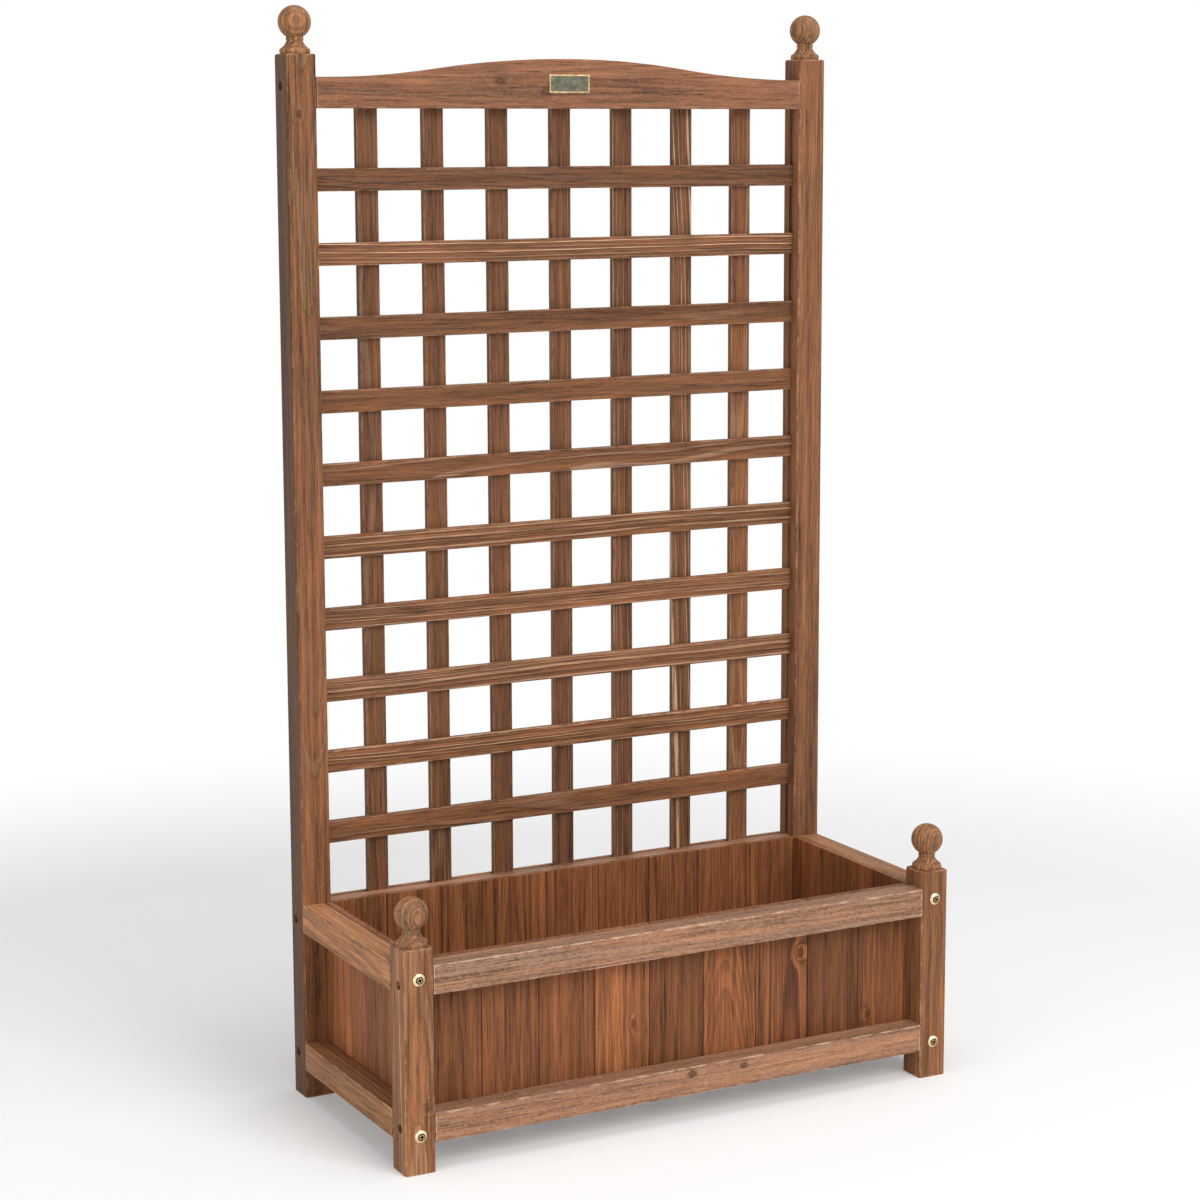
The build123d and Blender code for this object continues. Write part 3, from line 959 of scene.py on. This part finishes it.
bradPair = ((0.003, 0.004), (-0.004, -0.005))  # across and up from the middle of each crossing
inward = {"front": (0.0, 1.0, 0.0), "left": (1.0, 0.0, 0.0), "right": (-1.0, 0.0, 0.0)}


def bradPlaces():
    places = []
    crossLaths = sorted(name for name in nodes if name.startswith("lath_cross"))
    uprightLaths = sorted(name for name in nodes if name.startswith("lath_upright"))
    for upright in uprightLaths:
        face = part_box(upright)[1].y
        for cross in crossLaths:
            for across, up in bradPair:
                place = (middleOf(upright).x + across, face, middleOf(cross).z + up)
                places.append((place, (0.0, 1.0, 0.0)))
    for name in nodes:
        side = name.split("_")[1] if name.startswith("board_") else "none"
        if side in inward:
            centre, half = centreAndHalf(name)
            for rail in ("top", "bottom"):
                place = centre + half * Vector(inward[side])
                place.z = middleOf("rail_" + side + "_" + rail).z
                places.append((tuple(place), inward[side]))
    return places


def floorBradPlaces():
    # in the middle of each floor board, over the cleats
    low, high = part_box("floor_boards")
    spread = high.x - low.x + floorGap
    count = round(spread / floorBoards[1])
    places = []
    for index in range(count):
        across = low.x + spread * (index + 0.5) / count - floorGap / 2
        for cleat in ("cleat_front", "cleat_back"):
            places.append(((across, middleOf(cleat).y, high.z), (0.0, 0.0, 1.0)))
    return places


bradFinish = makeMetal("bradSteel", srgb(150, 138, 120), srgb(96, 78, 60), 0.4, 0.0, 0.0001)
brads = growPiece(
    "brads", placesMesh("bradPlaces", bradPlaces() + floorBradPlaces()), bradTree(),
    {**bradSizes, "Material": bradFinish},
)
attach(brads, "root")
print("brads made:", len(brads.data.polygons), "faces")


# Laths with brushed, raised grain: the soft wood between the rings is worn away

lathSizes = {
    "Size": (0.025, 0.0085, 0.6),   # across the grain, through and along it
    "Centre": (0.0, 0.0, 0.0),
    "Pith": (0.0, 0.0, 0.0),
    "Slope": 0.0,
    "Wood Seed": 0.0,
    "Ring Pitch": 0.004,
    "Ridge Depth": 0.00035,
    "Chamfer": 0.0007,
    "Cells Across": 28,
    "Cells Along": 76,
    "Level": 0,                     # 1 for a lath that lies across the planter
}


def beyond(tree, value, limit):
    return doMath(tree, "GREATER_THAN", doMath(tree, "ABSOLUTE", value), limit)


def lathTree():
    tree, given = startTree("brushedLath", lathSizes)
    block = addNode(
        tree, "GeometryNodeMeshCube",
        {"Size": given["Size"], "Vertices X": given["Cells Across"], "Vertices Y": 3,
         "Vertices Z": given["Cells Along"]},
    ).outputs["Mesh"]
    where = cornerPlace(tree)
    across, through, along = splitVector(tree, where)[:3]
    halfSize = doVector(tree, "MULTIPLY", given["Size"], (0.5, 0.5, 0.5))
    halfAcross, halfThrough, unused = splitVector(tree, halfSize)[:3]
    rings = ringField(
        tree, where, given["Pith"], given["Slope"], given["Wood Seed"], given["Ring Pitch"], 0.0,
    )
    turn = times(tree, minus(tree, rings, 0.82), 2 * math.pi)
    valley = doMath(tree, "MULTIPLY_ADD", doMath(tree, "COSINE", turn), -0.5, 0.5)
    sink = times(tree, valley, given["Ridge Depth"])
    atArris = beyond(tree, across, times(tree, halfAcross, 0.99))
    sink = larger(tree, sink, times(tree, atArris, given["Chamfer"]))
    onFace = beyond(tree, through, times(tree, halfThrough, 0.9))
    keep = minus(tree, 1.0, over(tree, times(tree, sink, onFace), halfThrough))
    lying = times(tree, given["Level"], minus(tree, along, across))
    placed = joinVector(
        tree, plus(tree, across, lying), times(tree, through, keep),
        minus(tree, along, lying),
    )
    placed = doVector(tree, "ADD", placed, given["Centre"])
    shape = placeCorners(tree, block, placed)
    shape = addNode(tree, "GeometryNodeFlipFaces", {"Mesh": shape, "Selection": given["Level"]})
    return endTree(tree, shape.outputs[0], given)


def makeLaths():
    tree = lathTree()
    for name in sorted(name for name in nodes if name.startswith("lath_")):
        level = name.startswith("lath_cross")
        order = "crossFront" if level else "upFront"
        centre, half = centreAndHalf(name)
        look, seed, pith, slope, shade = cutOf(name, "lath")
        axes = grainOrders[order]
        inputs = {
            **lathSizes, "Size": [2 * half[axis] for axis in axes],
            "Centre": list(centre), "Pith": list(pith),
            "Slope": slope, "Wood Seed": seed, "Ring Pitch": look["pitch"], "Level": int(level),
            "Ridge Depth": lathSizes["Ridge Depth"] * (0.4 + look["rub"]),
            "Material": makeWood(name, "lath", order, centre, half),
        }
        lath = growPiece("brushed_" + name, bpy.data.meshes.new(name), tree, inputs)
        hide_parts(name)
        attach(lath, "root")
    print("laths made")


makeLaths()


# Finials: one turned outline, spun smooth, on the four posts

finialSizes = {
    "height": 0.052,
    "ballRadius": 0.018,
    "neckRadius": 0.009,
    "neckHeight": 0.014,
    "baseRadius": 0.0168,
    "beadHeight": 0.0055,
    "beadBulge": 0.0007,
    "spigotRadius": 0.005,
    "spigotLength": 0.016,
    "neckSag": 0.0008,
    "neckRing": 0.0007,     # the small ring under the ball
    "pith": (0.004, 0.03, 0.0),
    "smoothAngle": 50.0,
}


def shares(count, first=1):
    return [step / count for step in range(first, count + 1)]


def finialOutline():
    # radius and height, from the foot of the spigot to the top of the ball
    f = finialSizes
    spigot, neck, ball = f["spigotRadius"], f["neckRadius"], f["ballRadius"]
    ballMiddle = f["height"] - ball
    inner = f["baseRadius"] - f["beadBulge"]
    points = [(0.0, -f["spigotLength"]), (spigot, -f["spigotLength"]), (spigot, 0.0)]
    for share in shares(8, 0):
        points.append((inner + f["beadBulge"] * math.sin(math.pi * share), f["beadHeight"] * share))
    for share in shares(12):
        sag = math.sin(math.pi * share) * f["neckSag"]
        height = f["beadHeight"] + (f["neckHeight"] - f["beadHeight"]) * share
        points.append((inner + (neck - inner) * share - sag, height - sag))
    neckTop = ballMiddle - math.sqrt(ball ** 2 - neck ** 2)
    for share in shares(6):
        ring = f["neckRing"] * math.sin(math.pi * share)
        points.append((neck + ring, f["neckHeight"] + (neckTop - f["neckHeight"]) * share))
    start = math.asin(neck / ball)
    for share in shares(36):
        angle = start + (math.pi - start) * share
        points.append((ball * math.sin(angle), ballMiddle - ball * math.cos(angle)))
    points[-1] = (0.0, f["height"])
    return points


def outlineMesh(points):
    # the outline as a bare line of vertices, its radius on X and its height on Z
    mesh = bpy.data.meshes.new("finialOutline")
    mesh.from_pydata([(radius, 0.0, height) for radius, height in points], [], [])
    return mesh


def finialTree():
    inputs = {"Sides": 72, "Outline Points": 3, "Spread": (0.0, 0.0, 0.0), "Front Height": 0.0,
              "Back Height": 0.0, "Seed": 5}
    tree, given = startTree("turnedFinials", inputs)
    # a sheet of points, round by up, whose corners take their places from the outline
    around = plus(tree, given["Sides"], 1)
    rows = given["Outline Points"]
    sheet = addNode(tree, "GeometryNodeMeshGrid", {"Vertices X": around, "Vertices Y": rows})
    index = addNode(tree, "GeometryNodeInputIndex").outputs[0]
    column = doMath(tree, "FLOOR", over(tree, plus(tree, index, 0.5), rows))
    row = minus(tree, index, times(tree, column, rows))
    where = cornerPlace(tree)
    found = addNode(tree, "GeometryNodeSampleIndex", data_type="FLOAT_VECTOR", domain="POINT")
    tree.links.new(given["Geometry"], found.inputs["Geometry"])
    tree.links.new(where, found.inputs["Value"])
    tree.links.new(doMath(tree, "ROUND", row), found.inputs["Index"])
    radius, unused, height = splitVector(tree, found.outputs[0])[:3]
    angle = over(tree, times(tree, column, 2 * math.pi), given["Sides"])
    spun = joinVector(
        tree, times(tree, radius, doMath(tree, "COSINE", angle)),
        times(tree, radius, doMath(tree, "SINE", angle)), height,
    )
    shape = placeCorners(tree, sheet.outputs["Mesh"], spun)
    shape = addNode(tree, "GeometryNodeMergeByDistance", {"Geometry": shape, "Distance": 1e-5}).outputs[0]
    shape = keepField(tree, shape, "localPlace", where)
    # the four post tops, from a sheet of two by two
    sizeX, sizeY, unused = splitVector(tree, given["Spread"])[:3]
    posts = addNode(
        tree, "GeometryNodeMeshGrid", {"Size X": sizeX, "Size Y": sizeY, "Vertices X": 2, "Vertices Y": 2},
    ).outputs["Mesh"]
    x, y, z = splitVector(tree, where)[:3]
    isBack = doMath(tree, "GREATER_THAN", y, 0.0)
    height = addNode(
        tree, "ShaderNodeMapRange",
        {"Value": isBack, "To Min": given["Front Height"], "To Max": given["Back Height"]},
    ).outputs[0]
    posts = placeCorners(tree, posts, joinVector(tree, x, y, height))
    copies = copyTo(tree, posts, shape, anySpin(tree, given["Seed"]))
    return endTree(tree, keepField(tree, copies, "woodSeed", index, "FLOAT", "INSTANCE"), given)


def turnedMaterial():
    look = woodLooks["turned"]
    material, tree = newMaterial("fir_turned")
    local = addNode(tree, "ShaderNodeAttribute", attribute_name="localPlace").outputs["Vector"]
    number = addNode(tree, "ShaderNodeAttribute", attribute_name="woodSeed").outputs["Fac"]
    seed = doMath(tree, "MULTIPLY_ADD", number, 7.3, 2.0)
    # a half size of a metre keeps the arris wear away
    shadeWood(tree, look, local, (1.0, 1.0, 1.0), finialSizes["pith"], look["slope"], seed, 1.0)
    return material


def makeFinials():
    points = finialOutline()
    first, last = middleOf("post_front_left"), middleOf("post_back_right")
    inputs = {
        "Sides": 72,
        "Outline Points": len(points),
        "Spread": (last.x - first.x, last.y - first.y, 0.0),
        "Front Height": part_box("post_front_left")[1].z,
        "Back Height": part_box("post_back_left")[1].z,
        "Seed": 5,
        "Material": turnedMaterial(),
    }
    finials = growPiece(
        "turnedFinials", outlineMesh(points), finialTree(), inputs, finialSizes["smoothAngle"],
    )
    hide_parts("finials")
    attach(finials, "root")
    print("finials made:", len(finials.data.polygons), "faces")


makeFinials()


# Stage, light and camera

stageLook = {
    "floorTone": 0.86,
    "lift": 0.22,        # share of the floor that is plain white to the eye, so the shadow stays light
    "fadeStart": 0.75,   # metres from the planter, where the floor starts to fade into white
    "fadeEnd": 1.9,
    "floorHalf": 30.0,
    "worldLight": 0.42,
}
plainWhite = (1.0, 1.0, 1.0, 1.0)


def eyeRay(tree):
    # 1 for what the eye, a reflection or a view through glass meets
    path = addNode(tree, "ShaderNodeLightPath").outputs
    seen = larger(tree, path["Is Camera Ray"], path["Is Glossy Ray"])
    return larger(tree, seen, path["Is Transmission Ray"])


def makeFloor():
    s = stageLook
    mesh = bpy.data.meshes.new("studioFloor")
    h = s["floorHalf"]
    mesh.from_pydata([(-h, -h, 0), (h, -h, 0), (h, h, 0), (-h, h, 0)], [], [(0, 1, 2, 3)])
    floor = newObject("studioFloor", mesh)
    material, tree = newMaterial("studioFloor")
    where = objectPlace(tree)
    far = doVector(tree, "LENGTH", where)
    fade = larger(tree, ramp(tree, far, s["fadeStart"], s["fadeEnd"]), s["lift"])
    matt = addNode(tree, "ShaderNodeBsdfDiffuse", {"Color": (s["floorTone"],) * 3 + (1.0,)})
    white = addNode(tree, "ShaderNodeEmission", {"Color": plainWhite, "Strength": 1.0})
    share = times(tree, fade, eyeRay(tree))
    mix = addNode(tree, "ShaderNodeMixShader", {0: share, 1: matt.outputs[0], 2: white.outputs[0]})
    endMaterial(tree, mix)
    setMaterial(floor, material)


def makeWorld():
    world = bpy.data.worlds.new("studioWorld")
    bpy.context.scene.world = world
    world.use_nodes = True
    tree = world.node_tree
    tree.nodes.clear()
    soft, white = (
        addNode(tree, "ShaderNodeBackground", {"Color": plainWhite, "Strength": strength}).outputs[0]
        for strength in (stageLook["worldLight"], 1.0)
    )
    mix = addNode(tree, "ShaderNodeMixShader", {0: eyeRay(tree), 1: soft, 2: white})
    addNode(tree, "ShaderNodeOutputWorld", {"Surface": mix.outputs[0]})


lamps = {
    "key": {"place": (0.9, -3.5, 2.9), "size": 2.2, "power": 118.0},
    "fill": {"place": (-2.3, -1.0, 0.45), "size": 1.3, "power": 23.0},
    "top": {"place": (0.2, -0.6, 4.0), "size": 2.6, "power": 62.0},
}
lampTarget = Vector((0.0, 0.0, 0.55))


def makeLamps():
    for name, lamp in lamps.items():
        data = bpy.data.lights.new(name, "AREA")
        data.shape = "SQUARE"
        data.size = lamp["size"]
        data.energy = lamp["power"]
        light = newObject(name, data)
        light.location = lamp["place"]
        light.rotation_euler = (lampTarget - light.location).to_track_quat("-Z", "Y").to_euler()


photoCamera = {
    "place": (-1.4633, -2.7053, 1.0792),
    "turn": 27.97,          # degrees to the right of straight ahead
    "tip": -8.69,
    "roll": -0.18,
    "focus": 2773.65,       # focal length in pixels of the 1200 pixel frame
    "frameSize": 1200,
    "axisRow": 560.0,       # the row of the frame that the lens's axis meets
}


def makeCamera():
    c = photoCamera
    data = bpy.data.cameras.new("photoCamera")
    camera = newObject("photoCamera", data)
    data.sensor_width = 36.0
    data.lens = c["focus"] * data.sensor_width / c["frameSize"]
    data.shift_y = (c["axisRow"] - c["frameSize"] / 2) / c["frameSize"]
    data.clip_end = 100.0
    turn, tip, roll = (math.radians(c[key]) for key in ("turn", "tip", "roll"))
    ahead = Vector((math.sin(turn) * math.cos(tip), math.cos(turn) * math.cos(tip), math.sin(tip)))
    right = Vector((math.cos(turn), -math.sin(turn), 0.0))
    up = right.cross(ahead)
    rolledRight = right * math.cos(roll) + up * math.sin(roll)
    rolledUp = up * math.cos(roll) - right * math.sin(roll)
    axes = Matrix((rolledRight, rolledUp, -ahead)).transposed()
    camera.matrix_world = Matrix.Translation(Vector(c["place"])) @ axes.to_4x4()
    bpy.context.scene.camera = camera


makeFloor()
makeWorld()
makeLamps()
makeCamera()
bpy.context.scene.view_settings.view_transform = "Standard"
print("stage, lamps and camera set")
